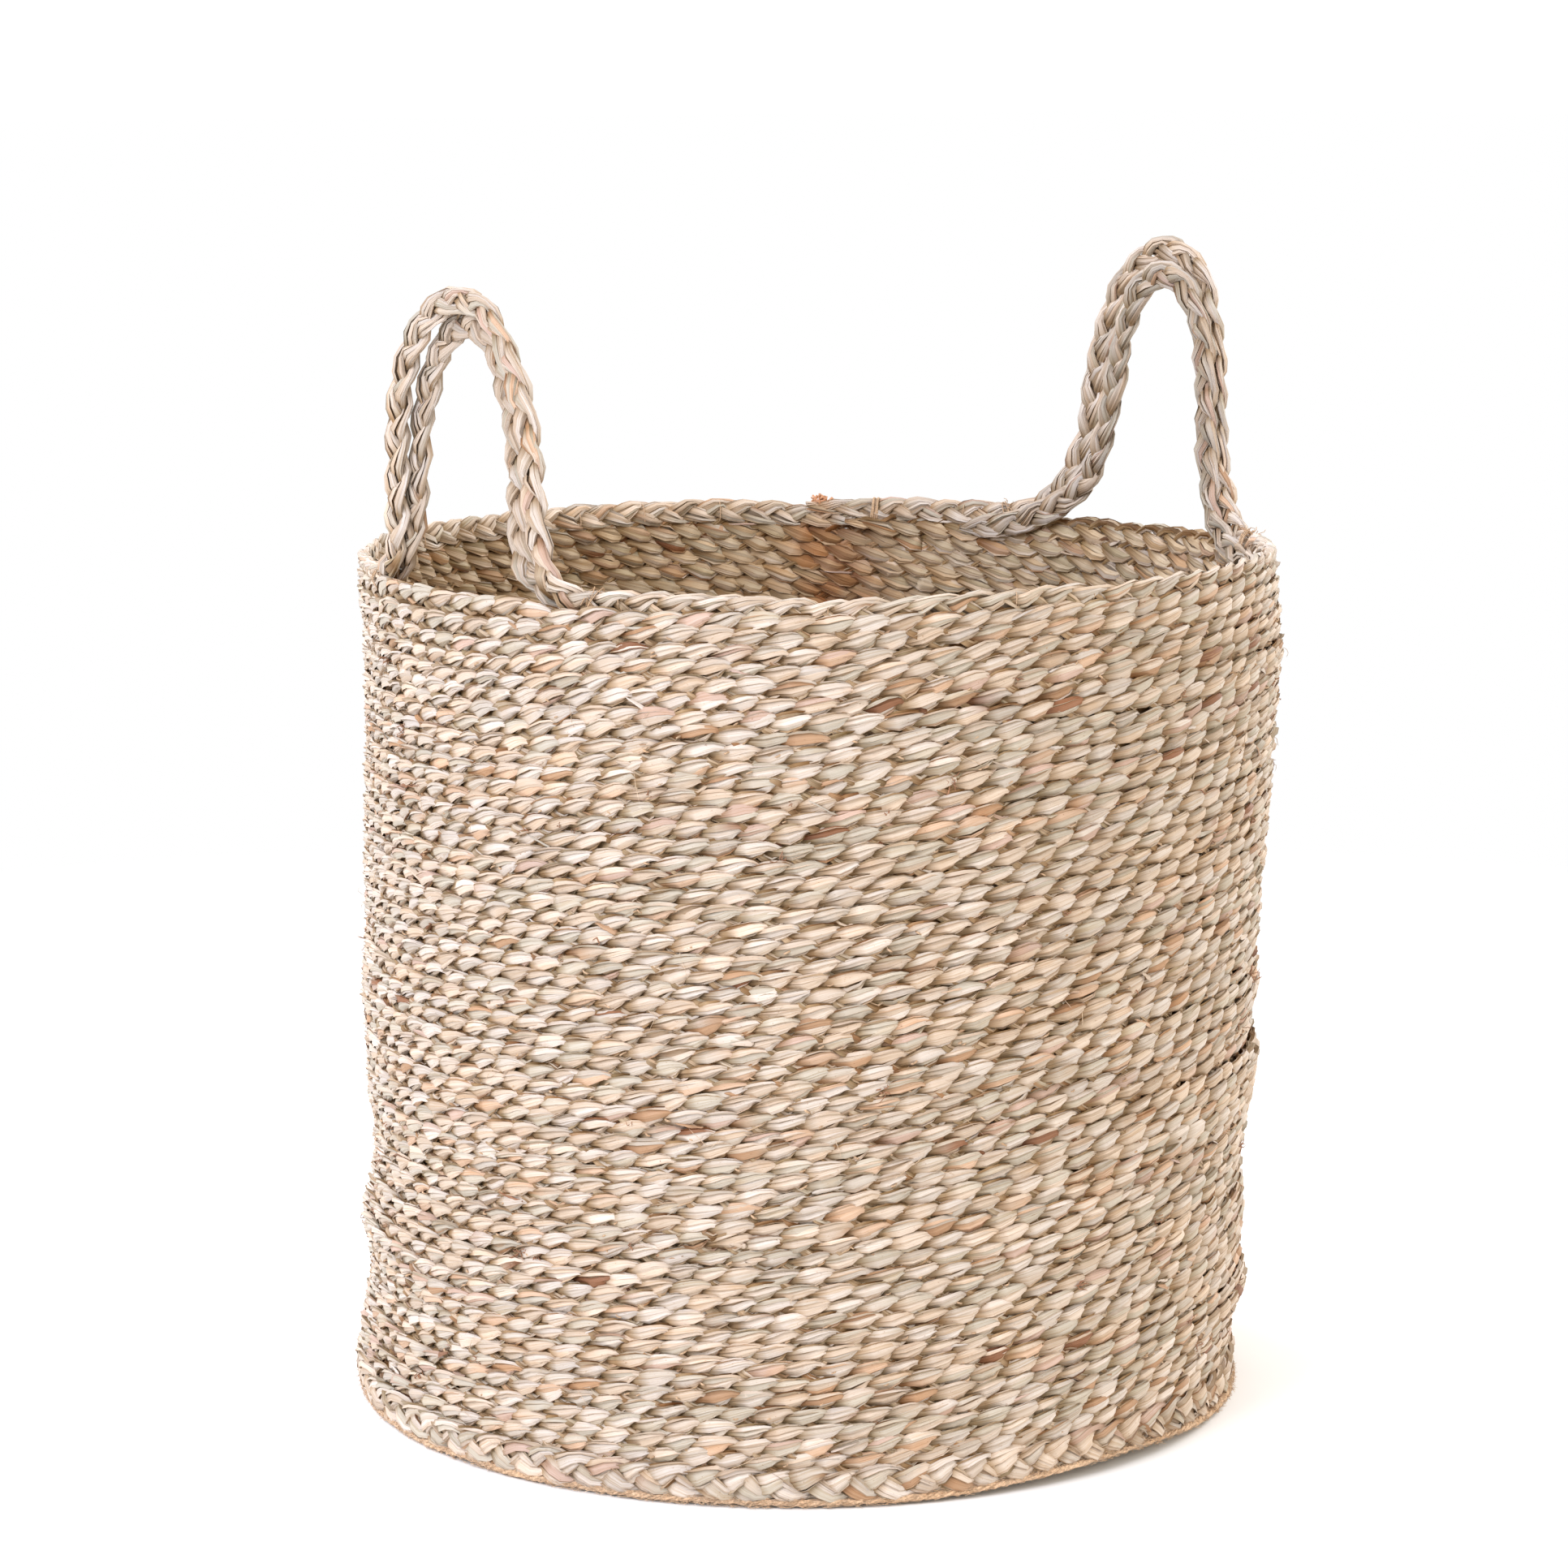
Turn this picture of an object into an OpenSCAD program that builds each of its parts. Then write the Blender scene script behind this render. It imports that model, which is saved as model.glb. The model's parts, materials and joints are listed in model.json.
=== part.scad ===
// Seagrass storage basket: three-strand flat braid coiled flat for the base,
// then round and round for the wall, every course lapped over half of the one
// below it and sewn with jute. Two handles, each of two nested braid loops.
//
// Frame: millimetres, +Z up, origin at the centre of the underside.
// The handles stand at -X (left) and +X (right); -Y is the front.

/* [Body] */
// Outer diameter of the wall at the rim
rim_d = 450; // [436:1:470]
// Outer diameter of the wall at the bottom edge
base_d = 442; // [430:1:460]
// Height of the body, from the floor to the top of the rim
body_h = 418; // [400:1:440]
// Thickness of the wall, where two half-lapped braids lie on each other
wall_t = 8; // [7:0.5:9]
// Thickness of the flat coiled base
base_t = 6.5; // [6:0.5:8]

/* [Braid] */
// Full width of the flat three-strand braid
braid_w = 14; // [12:0.5:15]
// Courses of braid from the bottom edge to the rim
rows = 56; // [52:1:60]
// How far a course stands proud of the valley between two courses
scallop = 1.6; // [0.8:0.1:2]
// Width of one turn of the coil as it shows on the base
base_turn = 7.2; // [6.5:0.1:8]

/* [Handles] */
// Height of the left handle above the rim
left_handle_h = 136; // [125:1:150]
// Height of the right handle above the rim
right_handle_h = 147; // [130:1:155]
// Width of the braid in a handle loop
loop_w = 12.6; // [11:0.2:12.8]
// Thickness of the braid in a handle loop
loop_t = 6.5; // [6:0.1:7]
// Radius of the outer loop's top, at the middle of the braid
arch_r = 52; // [48:0.5:56]
// Distance between the middles of the outer and the inner loop
loop_gap = 13; // [13:0.1:14]

/* [Jute] */
// Diameter of the jute cord that closes the bottom edge
cord_d = 3.6; // [3:0.1:3.8]
// Diameter of the jute sewing thread
thread_d = 1.4; // [1:0.1:1.6]
// Number of thread loops that bind the rim
rim_loops = 24; // [12:4:32]
// Number of stitches that show round each sewn course
wall_stitch_count = 12; // [6:2:16]

/* [Hidden] */
$fn = 96;
rim_r = rim_d / 2;
base_r = base_d / 2;
pitch = (body_h - base_t - braid_w / 2) / rows;
// courses in each of the eight lengths of wall braid, from the bottom up
wall_courses = [7, 6, 7, 6, 7, 7, 6, rows - 49];
disc_r = base_r - 4;
clear = 0.4;
// height of the hinge line that each handle folds about
hinge_z = row_z(rows) + clear + loop_t / 2;
// the outer loop's legs stand on the middle of the wall
hinge_x = sqrt(pow(rim_r - wall_t / 2, 2) - pow(arch_r, 2));
rim_cut = arch_r + loop_w / 2 + 1;

straw = [0.85, 0.76, 0.65];
straw_dark = [0.78, 0.67, 0.54];
jute = [0.72, 0.55, 0.38];

// bottom of course k, counted from 1; course 1 shows its full width
function row_z(k) = k <= 1 ? base_t : base_t + braid_w / 2 + (k - 1) * pitch;
// outer radius of the wall at height z
function wall_r(z) = base_r + (rim_r - base_r) * z / body_h;
// height of the middle of a handle's arch
function arch_z(h) = body_h + h - loop_w / 2 - arch_r;
// first course of wall length n, counted from 0
function first_row(n) = n == 0 ? 2 : first_row(n - 1) + wall_courses[n - 1];

// Section of courses a to b, lapped like shingles: outside, each course leans
// out over the one above it; inside, it leans in over the one below it.
module courses_section(a, b, crown = false) {
    outer = [for (k = [a:b]) let (z0 = row_z(k), z1 = row_z(k + 1), dz = z1 - z0)
        each [[wall_r(z0) - scallop, z0], [wall_r(z0), z0 + 0.55 * dz],
              [wall_r(z1) - (crown && k == b ? scallop : 0.5 * scallop), z1]]];
    inner = [for (i = [0:b - a]) let (k = b - i, z0 = row_z(k), z1 = row_z(k + 1), dz = z1 - z0)
        each [[wall_r(z1) - wall_t + scallop, z1], [wall_r(z0) - wall_t, z0 + 0.45 * dz],
              [wall_r(z0) - wall_t + 0.5 * scallop, z0]]];
    polygon(concat(outer, inner));
}

// A length of wall braid: courses a to b, coiled round.
module wall_length(a, b, tint) {
    color(straw * tint)
        rotate_extrude($fn = 180) courses_section(a, b);
}

// The base: one braid coiled flat, its underside pressed level.
module base_coil_braid() {
    turns = floor((disc_r - 3) / base_turn);
    ridge = [for (i = [0:turns - 1]) let (r0 = disc_r - i * base_turn)
        each [[r0, base_t - 1], [r0 - 0.5 * base_turn, base_t]]];
    color(straw_dark)
        rotate_extrude($fn = 180)
            polygon(concat([[0, 0], [disc_r - 1, 0], [disc_r, 1.5]], ridge,
                [[disc_r - turns * base_turn, base_t - 1], [0, base_t - 0.5]]));
}

// Jute cord laid round the corner under the bottom course.
module base_edge_cord() {
    color(jute)
        rotate_extrude($fn = 180)
            translate([disc_r + cord_d / 2 + 0.05, base_t - cord_d / 2 - 0.15]) circle(d = cord_d, $fn = 24);
}

// Stitches that hold the turns of the base together, eight lines of them.
module base_stitches() {
    color(jute)
        for (s = [0:7], i = [2:3:26])
            rotate([0, 0, 45 * s + 7 * i])
                translate([disc_r - i * base_turn, 0, base_t - 0.55])
                    rotate([0, 90, 0]) cylinder(h = 5, d = thread_d, center = true, $fn = 16);
}

// The lowest course, which shows both halves of its braid.
module bottom_edge_braid() { wall_length(1, 1, 0.97); }

module wall_braid_n(n) {
    a = first_row(n);
    wall_length(a, a + wall_courses[n] - 1, n % 2 == 0 ? 1 : 0.96);
}
module wall_braid_1() { wall_braid_n(0); }
module wall_braid_2() { wall_braid_n(1); }
module wall_braid_3() { wall_braid_n(2); }
module wall_braid_4() { wall_braid_n(3); }
module wall_braid_5() { wall_braid_n(4); }
module wall_braid_6() { wall_braid_n(5); }
module wall_braid_7() { wall_braid_n(6); }
module wall_braid_8() { wall_braid_n(7); }

// The course under the rim goes right round, below the handles too.
module under_rim_braid() { wall_length(rows - 1, rows - 1, 0.98); }

// The top course runs from handle to handle, on each side.
module rim_side(dir) {
    color(straw)
        intersection() {
            rotate_extrude($fn = 180) courses_section(rows, rows, true);
            translate([-rim_d, dir > 0 ? rim_cut : -rim_cut - rim_d, 0]) cube([2 * rim_d, rim_d, 2 * body_h]);
        }
}
module rim_braid_front() { rim_side(-1); }
module rim_braid_back() { rim_side(1); }

// Section of a handle loop: a flat braid with its edges broken, flat faces
// towards the inside and the outside of the basket.
module loop_section() {
    c = loop_t * 0.3;
    polygon([for (q = [[1, 1], [-1, 1], [-1, -1], [1, -1]]) each
        (q[0] == q[1] ? [[q[0] * loop_w / 2, q[1] * (loop_t / 2 - c)], [q[0] * (loop_w / 2 - c), q[1] * loop_t / 2]]
                      : [[q[0] * (loop_w / 2 - c), q[1] * loop_t / 2], [q[0] * loop_w / 2, q[1] * (loop_t / 2 - c)]])]);
}

// One loop: an arch on two legs, whose ends are round about the hinge line
// so that the loop folds clear of the wall.
module loop(h, r, tint) {
    zc = arch_z(h);
    color(straw * tint)
        rotate([0, 0, 90]) {
            translate([0, 0, zc]) rotate([90, 0, 0])
                rotate_extrude(angle = 180, $fn = 120) translate([r, 0]) loop_section();
            for (s = [-1, 1]) translate([s * r, 0, 0]) {
                translate([0, 0, hinge_z]) linear_extrude(zc - hinge_z) loop_section();
                translate([0, 0, hinge_z]) rotate([0, 90, 0])
                    cylinder(h = loop_w - 0.6 * loop_t, d = loop_t, center = true, $fn = 48);
            }
        }
}
module handle_left_outer_braid() { translate([-hinge_x, 0, 0]) loop(left_handle_h, arch_r, 1); }
module handle_left_inner_braid() { translate([-hinge_x, 0, 0]) loop(left_handle_h, arch_r - loop_gap, 0.95); }
module handle_right_outer_braid() { translate([hinge_x, 0, 0]) loop(right_handle_h, arch_r, 1); }
module handle_right_inner_braid() { translate([hinge_x, 0, 0]) loop(right_handle_h, arch_r - loop_gap, 0.95); }

// A thread loop pulled tight round the top two courses, w wide along the rim.
module thread_loop(w) {
    z0 = row_z(rows - 1);
    d = wall_t + 2 * thread_d - 1;
    translate([rim_r - wall_t / 2, 0, (z0 + body_h) / 2])
        rotate([90, 0, 0])
            linear_extrude(w, center = true)
                difference() {
                    square([d, body_h - z0 + thread_d], center = true);
                    square([d - 2 * thread_d, body_h - z0 - thread_d], center = true);
                }
}

// Jute lashings beside the four feet of the handles.
module handle_foot_lashings() {
    a = asin((rim_cut + 5) / (rim_r - wall_t / 2));
    color(jute)
        for (b = [a, 180 - a, 180 + a, -a]) rotate([0, 0, b]) thread_loop(6);
}

// Single thread loops spaced along the rim, between the handles.
module rim_stitches() {
    n = rim_loops / 2;
    a = asin((rim_cut + 5) / (rim_r - wall_t / 2));
    color(jute)
        for (s = [0, 180], i = [1:n])
            rotate([0, 0, s + a + i * (180 - 2 * a) / (n + 1)]) thread_loop(thread_d);
}

// The sewing thread where it shows in the valleys between courses.
module wall_stitches() {
    color(jute)
        for (k = [4:4:rows - 4], i = [0:wall_stitch_count - 1])
            rotate([0, 0, (i + (k % 8) / 8) * 360 / wall_stitch_count])
                translate([wall_r(row_z(k)) - scallop + 0.2, 0, row_z(k)])
                    rotate([70, 0, 0]) cylinder(h = 5, d = thread_d, center = true, $fn = 16);
}

base_coil_braid();
base_edge_cord();
base_stitches();
bottom_edge_braid();
wall_braid_1();
wall_braid_2();
wall_braid_3();
wall_braid_4();
wall_braid_5();
wall_braid_6();
wall_braid_7();
wall_braid_8();
under_rim_braid();
rim_braid_front();
rim_braid_back();
handle_left_outer_braid();
handle_left_inner_braid();
handle_right_outer_braid();
handle_right_inner_braid();
handle_foot_lashings();
rim_stitches();
wall_stitches();
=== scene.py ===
import json
import math
import bpy
import numpy as np
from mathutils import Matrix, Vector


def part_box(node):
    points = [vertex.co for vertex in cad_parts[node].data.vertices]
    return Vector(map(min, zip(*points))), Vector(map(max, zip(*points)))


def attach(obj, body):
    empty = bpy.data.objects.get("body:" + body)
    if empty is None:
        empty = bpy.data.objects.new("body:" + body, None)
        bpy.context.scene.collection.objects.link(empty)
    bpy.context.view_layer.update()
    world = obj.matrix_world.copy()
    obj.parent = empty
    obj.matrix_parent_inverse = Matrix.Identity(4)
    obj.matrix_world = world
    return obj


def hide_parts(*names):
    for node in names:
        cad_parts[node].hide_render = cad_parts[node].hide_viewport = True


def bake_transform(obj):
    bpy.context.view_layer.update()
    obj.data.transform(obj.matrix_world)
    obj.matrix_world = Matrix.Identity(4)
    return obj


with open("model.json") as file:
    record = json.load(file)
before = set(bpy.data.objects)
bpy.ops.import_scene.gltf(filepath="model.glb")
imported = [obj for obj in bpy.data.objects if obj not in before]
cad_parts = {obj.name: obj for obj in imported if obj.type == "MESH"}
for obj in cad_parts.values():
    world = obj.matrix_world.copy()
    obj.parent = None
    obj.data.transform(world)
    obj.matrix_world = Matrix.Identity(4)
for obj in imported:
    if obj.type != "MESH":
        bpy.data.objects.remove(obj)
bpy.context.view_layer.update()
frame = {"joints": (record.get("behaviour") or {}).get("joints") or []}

# ---------------------------------------------------------------- sizes, mm
# Everything is worked out in millimetres in the row frame and scaled at the end.
rim_lo, rim_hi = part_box("rim_braid_front")
edge_lo, edge_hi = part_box("bottom_edge_braid")
disc_lo, disc_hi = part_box("base_coil_braid")
JOINTS = {j["name"]: j for j in frame["joints"]}
HINGE_X = abs(JOINTS["left_handle_fold"]["pos_m"][0]) * 1000
HINGE_Z = JOINTS["left_handle_fold"]["pos_m"][2] * 1000
H = rim_hi.z * 1000
RT = 225.0
RB = edge_hi.x * 1000
BT = disc_hi.z * 1000
DISC_R = disc_hi.x * 1000
WALL = 8.0
ROWS = 56
BRAID = 14.0
PITCH = (H - BT - BRAID / 2) / ROWS
PERIOD = 47.1                      # one strand's full swing; three petals a side
TILT = math.radians(22)            # each course leans out over the one above it
AZ = math.radians(-39)             # where the camera stands round the basket
CAM_R = np.array([math.cos(AZ), math.sin(AZ), 0.0])
STEP0 = math.radians(36)           # where each course climbs to the next level
STEPW = 0.085


def zc(k):
    return BT + BRAID / 2 + (k - 1) * PITCH


def wall_mid(z):
    return RB + (RT - RB) * z / H - WALL / 2


def smooth(x):
    x = np.clip(x, 0, 1)
    return x * x * (3 - 2 * x)


def lin(r, g, b):
    c = np.array([r, g, b], float) / 255
    return np.where(c <= 0.04045, c / 12.92, ((c + 0.055) / 1.055) ** 2.4)


def noise(rng, s, length, m):
    """m smooth random tracks along s, each with its knots `length` apart."""
    x = (s - s[0]) / length
    v = rng.uniform(-1, 1, (m, int(x[-1]) + 3))
    i = x.astype(int)
    f = x - i
    f = f * f * (3 - 2 * f)
    return v[:, i] * (1 - f) + v[:, i + 1] * f


def steps(rng, s, length, m, sharp=0.22):
    """Index pairs and weights for m tracks that change value now and then."""
    x = (s - s[0]) / length + rng.uniform(0, 1, (m, 1))
    i = x.astype(int)
    f = smooth((x - i - (1 - sharp)) / sharp)
    return i, f


# ------------------------------------------------- the basket's hand-made form
LEFT_Z = [0, 17, 33, 50, 67, 83, 100, 116, 133, 150, 165, 183, 200, 225, 260, 300, 340, 370, 400, 418]
LEFT_R = [-1.5, -1.5, -3.5, -7, -7.5, -1.5, -7, -8, -8, -4.8, -4.5, -3.2, -2, -4, -3, -3, -3.5, -2.5, 0, 0]
RIGHT_Z = [0, 17, 33, 50, 66, 83, 100, 116, 133, 150, 166, 183, 200, 216, 250, 300, 332, 366, 400, 418]
RIGHT_R = [0, -4, -4.5, 2, -2, -1, -2.5, -4, -2, 0.5, 2, -2.5, 0, -2, -0.5, 1, 2, 3, -2, -3]
RIM_A = [-180, -165, -140, -128, -115, -100, -90, -75, -62, -50, -35, -20, 0, 40, 90, 140, 180]
RIM_DZ = [0, -1, -3, -1.5, 2.5, 2.5, 0.5, 2.5, 4, 3, 3.5, 4, 1.5, 0, 0.5, 0, 0]


def lobes(a, mid, width):
    d = (a - mid + math.pi) % (2 * math.pi) - math.pi
    return np.exp(-(d / width) ** 2)


def deform(p, handle=False):
    """The lean, the dents and the uneven rim, in the row frame, mm."""
    p = np.array(p, float)
    z = np.clip(p[..., 2], 0, H)
    a = np.arctan2(p[..., 1], p[..., 0])
    r = np.hypot(p[..., 0], p[..., 1])
    dr = (lobes(a, math.pi + AZ, 0.62) * np.interp(z, LEFT_Z, LEFT_R)
          + lobes(a, AZ, 0.62) * np.interp(z, RIGHT_Z, RIGHT_R))
    mid = lobes(a, AZ - math.pi / 2, 0.8) + lobes(a, AZ + math.pi / 2, 0.8)
    dr = dr + mid * (1.6 * np.sin(z / 31 + 1.0) + 1.1 * np.sin(z / 17 + 3 * a)) * smooth(z / 40)
    dr = dr * smooth(r / 190) * smooth((H + 20 - p[..., 2]) / 30)
    k = 1 + dr / np.maximum(r, 1)
    p[..., 0] *= k
    p[..., 1] *= k
    # the front right of the bottom edge stands a little proud of the floor
    p[..., 2] += 5.0 * lobes(a, AZ - math.radians(90 - 42), 0.36) * smooth((70 - z) / 70) * smooth((r - 150) / 50)
    up = np.interp((np.degrees(a - AZ) + 180) % 360 - 180, RIM_A, RIM_DZ)
    p[..., 2] += up * smooth((z - 200) / 200) * smooth(r / 150)
    p += CAM_R * (11.8 * (p[..., 2:3] / H - 0.5))
    return p


# ------------------------------------------------------------------ blades
PALETTE = 0.75 * np.array([0.985, 1.0, 1.02]) * np.array([lin(*c) for c in (
    (243, 230, 220), (243, 224, 207), (236, 214, 193), (222, 211, 195), (230, 217, 204),
    (237, 201, 172), (225, 194, 178), (206, 164, 128), (166, 116, 84))])
WEIGHT = np.array([0.25, 0.22, 0.18, 0.16, 0.11, 0.035, 0.025, 0.015, 0.005])
WEIGHT = WEIGHT / WEIGHT.sum()


class Blades:
    """Ribbons of seagrass as closed three-sided strips, laid out for one mesh."""

    def __init__(self):
        self.co, self.col, self.fib, self.crease, self.runs = [], [], [], [], []

    def add(self, left, ridge, right, col, fib_x, width, seed, crease=True):
        n = len(left)
        co = np.stack([left, ridge, right], 1).reshape(-1, 3)
        c = np.repeat(col[:, None, :], 3, 1)
        # ridge vertices painted 3% lighter: a painted highlight along each blade's crest
        c[:, 1] *= 1.03
        f = np.zeros((n, 3, 3))
        f[:, :, 0] = fib_x[:, None]
        f[:, 0, 1], f[:, 2, 1] = -width, width
        f[:, :, 2] = seed
        self.co.append(co)
        self.col.append(c.reshape(-1, 3))
        self.fib.append(f.reshape(-1, 3))
        self.crease.append(np.full(n * 3, crease))
        self.runs.append(n)

    def mesh(self, name, material):
        co = np.concatenate(self.co)
        col = np.concatenate(self.col)
        fib = np.concatenate(self.fib)
        runs = np.array(self.runs)
        base = np.concatenate([[0], np.cumsum(runs)[:-1]])
        seg = np.concatenate([b + np.arange(n - 1) for b, n in zip(base, runs)])
        quads = []
        for c, d in ((0, 1), (1, 2), (2, 0)):
            quads.append(np.stack([seg * 3 + c, seg * 3 + d, (seg + 1) * 3 + d, (seg + 1) * 3 + c], 1))
        quads = np.stack(quads, 1).reshape(-1, 4)
        first = base * 3
        last = (base + runs - 1) * 3
        tris = np.concatenate([np.stack([first, first + 2, first + 1], 1),
                               np.stack([last, last + 1, last + 2], 1)])
        nq, nt = len(quads), len(tris)
        me = bpy.data.meshes.new(name)
        me.vertices.add(len(co))
        me.vertices.foreach_set("co", (co * 0.001).astype(np.float32).ravel())
        me.loops.add(nq * 4 + nt * 3)
        me.loops.foreach_set("vertex_index", np.concatenate([quads.ravel(), tris.ravel()]).astype(np.int32))
        me.polygons.add(nq + nt)
        start = np.concatenate([np.arange(nq) * 4, nq * 4 + np.arange(nt) * 3]).astype(np.int32)
        me.polygons.foreach_set("loop_start", start)
        me.update(calc_edges=True)
        me.polygons.foreach_set("use_smooth", np.ones(nq + nt, bool))
        ev = np.zeros(len(me.edges) * 2, np.int32)
        me.edges.foreach_get("vertices", ev)
        ev = ev.reshape(-1, 2)
        crease = np.concatenate(self.crease)
        sharp = (np.abs(ev[:, 0] - ev[:, 1]) == 3) & ((ev[:, 0] % 3 != 1) | crease[ev[:, 0]])
        at = me.attributes.new("sharp_edge", "BOOLEAN", "EDGE")
        at.data.foreach_set("value", sharp)
        at = me.attributes.new("Tone", "FLOAT_COLOR", "POINT")
        at.data.foreach_set("color", np.concatenate([col, np.ones((len(col), 1))], 1).astype(np.float32).ravel())
        at = me.attributes.new("Border", "FLOAT", "POINT")
        at.data.foreach_set("value", np.tile(np.array([-1, 0, 1], np.float32), len(co) // 3))
        at = me.attributes.new("Fibre", "FLOAT_VECTOR", "POINT")
        at.data.foreach_set("vector", fib.astype(np.float32).ravel())
        # a tidy flat layout: every stretch of every blade has its own cell
        cells = nq // 3
        cols = max(1, int(math.sqrt(cells * 2.6)))
        rows = -(-cells // cols)
        i = np.arange(cells)
        u0, v0 = (i % cols) / cols, (i // cols) / rows
        du, dv = 1 / cols, 1 / rows
        uv = np.zeros((cells, 3, 4, 2), np.float32)
        for s in range(3):
            a, b = v0 + dv * (s + 0.12) / 3, v0 + dv * (s + 0.88) / 3
            uv[:, s, 0] = np.stack([u0, a], 1)
            uv[:, s, 1] = np.stack([u0, b], 1)
            uv[:, s, 2] = np.stack([u0 + du, b], 1)
            uv[:, s, 3] = np.stack([u0 + du, a], 1)
        uv = uv.reshape(-1, 2)
        tail = np.tile(np.array([[0, 0], [du * 0.3, 0], [0, dv * 0.1]], np.float32), (nt, 1))
        layer = me.uv_layers.new(name="OFBake")
        layer.data.foreach_set("uv", np.concatenate([uv, tail]).astype(np.float32).ravel())
        me.materials.append(material)
        me.validate()
        ob = bpy.data.objects.new(name, me)
        bpy.context.scene.collection.objects.link(ob)
        return ob


def unit(v):
    return v / np.maximum(np.linalg.norm(v, axis=-1, keepdims=True), 1e-9)


def braid(rng, c, n, half=4.2, depth=1.85, sw=3.5, sh=1.05, blades=6, bw=2.3, thick=0.6, roll=0.1,
          pinch=0.45, one_sided=0.0, inside=0.0, pace=1.0, width=None, period=PERIOD, tone=1.0, seed0=0.0, covered_shade_out=0.0, covered_shade_in=0.0):
    """Three strands of flat blades plaited along the line c with face normal n.
    Returns one entry for each blade: its left border, ridge, right border and colour along the line,
    its run, half width, seed and crease, and where along the line its vertices go."""
    d = np.linalg.norm(np.diff(c, axis=0), axis=1)
    s = np.concatenate([[0], np.cumsum(d)])
    t_dir = unit(np.gradient(c, axis=0))
    n = unit(n - t_dir * (n * t_dir).sum(1, keepdims=True))
    a = np.cross(n, t_dir)
    w_all = np.ones(len(s)) if width is None else width
    covered_shade_out, covered_shade_in = np.broadcast_to(covered_shade_out, s.shape), np.broadcast_to(covered_shade_in, s.shape)
    one_sided = np.broadcast_to(one_sided, s.shape)
    run = np.concatenate([[0], np.cumsum(d / np.broadcast_to(pace, s.shape)[1:])])
    run = run + 3.2 * noise(rng, s, 190, 1)[0] + 1.5 * noise(rng, s, 45, 1)[0]
    phase = 2 * math.pi * run / period
    out = []
    for j in range(3):
        t = phase + 2 * math.pi * j / 3 + 0.27 * noise(rng, s, 25, 1)[0]
        # where the courses shingle, a strand climbs slowly and drops back fast
        t = t - 0.37 * one_sided * np.sin(t)
        t = np.maximum.accumulate(t)
        v = noise(rng, s, 28, 4)
        x = (half * (1 + 0.08 * v[0]) * (np.sin(t) - 0.1 * np.sin(3 * t)) / 1.06 + 0.6 * v[1]) * w_all
        y = (depth * (1 + 0.16 * v[2]) * np.sin(2 * t - 0.1 * one_sided) + 0.25 * v[3]) * w_all
        cj = c + a * x[:, None] + n * y[:, None]
        tj = unit(np.gradient(cj, axis=0))
        nj = unit(n - tj * (n * tj).sum(1, keepdims=True))
        xj = np.cross(nj, tj)
        # each strand rolls as it passes over its neighbours
        sr = (-roll * np.sin(t) * np.sin(2 * t))[:, None]
        cr = np.sqrt(1 - sr * sr)
        xj, nj = xj * cr + nj * sr, nj * cr - xj * sr
        # the flat bundle folds to a narrow tip at each edge; where the next course
        # covers the braid it is drawn in
        even = 1 - pinch * np.sin(t) ** 6
        swing = np.degrees(np.arctan2(np.sin(t), np.cos(t)))
        lean = 0.29 + 0.71 * np.maximum(smooth(1 - np.abs(swing - 38) / 76), smooth(1 - np.abs(swing + 60) / 68))
        full = even * (1 - one_sided) + lean * one_sided
        g = noise(rng, s, 21, 3)
        w = sw * full * (1 + 0.29 * g[0]) * w_all
        h = sh * (1.3 - 0.35 * full) * (1 + 0.18 * g[1]) * w_all
        turn = 0.5 * noise(rng, s, 95, 1)[0] + 0.15 * g[2]
        cross = np.cos(2 * t) ** 2 * np.cos(t) ** 2
        idx, mixw = steps(rng, s, 78, blades)
        pick = rng.choice(len(PALETTE), (blades, idx.max() + 3), p=WEIGHT)
        shade = rng.normal(1.0, 0.06, pick.shape)
        strand_tone = 1 + 0.05 * noise(rng, s, 160, 1)[0]
        # vertices sit where the strand bends: at the crossings and beside them
        stops = np.concatenate([np.arange(0, 361, 90) + k for k in (0, 32, 64)])[:-2]
        stops = np.radians(np.unique(stops[stops < 360]))
        turns_ = np.arange(math.floor(t[0] / (2 * math.pi)), math.ceil(t[-1] / (2 * math.pi)) + 1)
        want = (turns_[:, None] * 2 * math.pi + stops[None, :]).ravel()
        want = want[(want > t[0]) & (want < t[-1])]
        at = np.interp(want, t, np.arange(len(t)))
        # the blades buried in the middle of the bundle, seen only through the slits, painted dark and warm: painted
        # shade inside the bundle
        tk = 0.55 * h[:, None]
        inner = PALETTE[2] * 0.6 * tone * np.array([1.0, 0.87, 0.7]) * np.ones((len(s), 1))
        # painted shadow: the core is darker again on the half that the next course covers
        if np.ndim(covered_shade_out):
            core_cover_shade = np.where(x < 0, covered_shade_out, 0.0)[:, None]
            inner = inner * (1 - 0.6 * core_cover_shade)
        out.append((np.concatenate([cj - xj * 0.8 * w[:, None] - nj * tk * 0.6, cj + nj * tk,
                                    cj + xj * 0.8 * w[:, None] - nj * tk * 0.6, inner, s[:, None]], 1),
                    float(sw * 0.8), seed0 + 3.1 * j, True, at))
        for b in range(blades):
            alpha0 = (b + 0.5) / blades * 2 * math.pi
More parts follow.
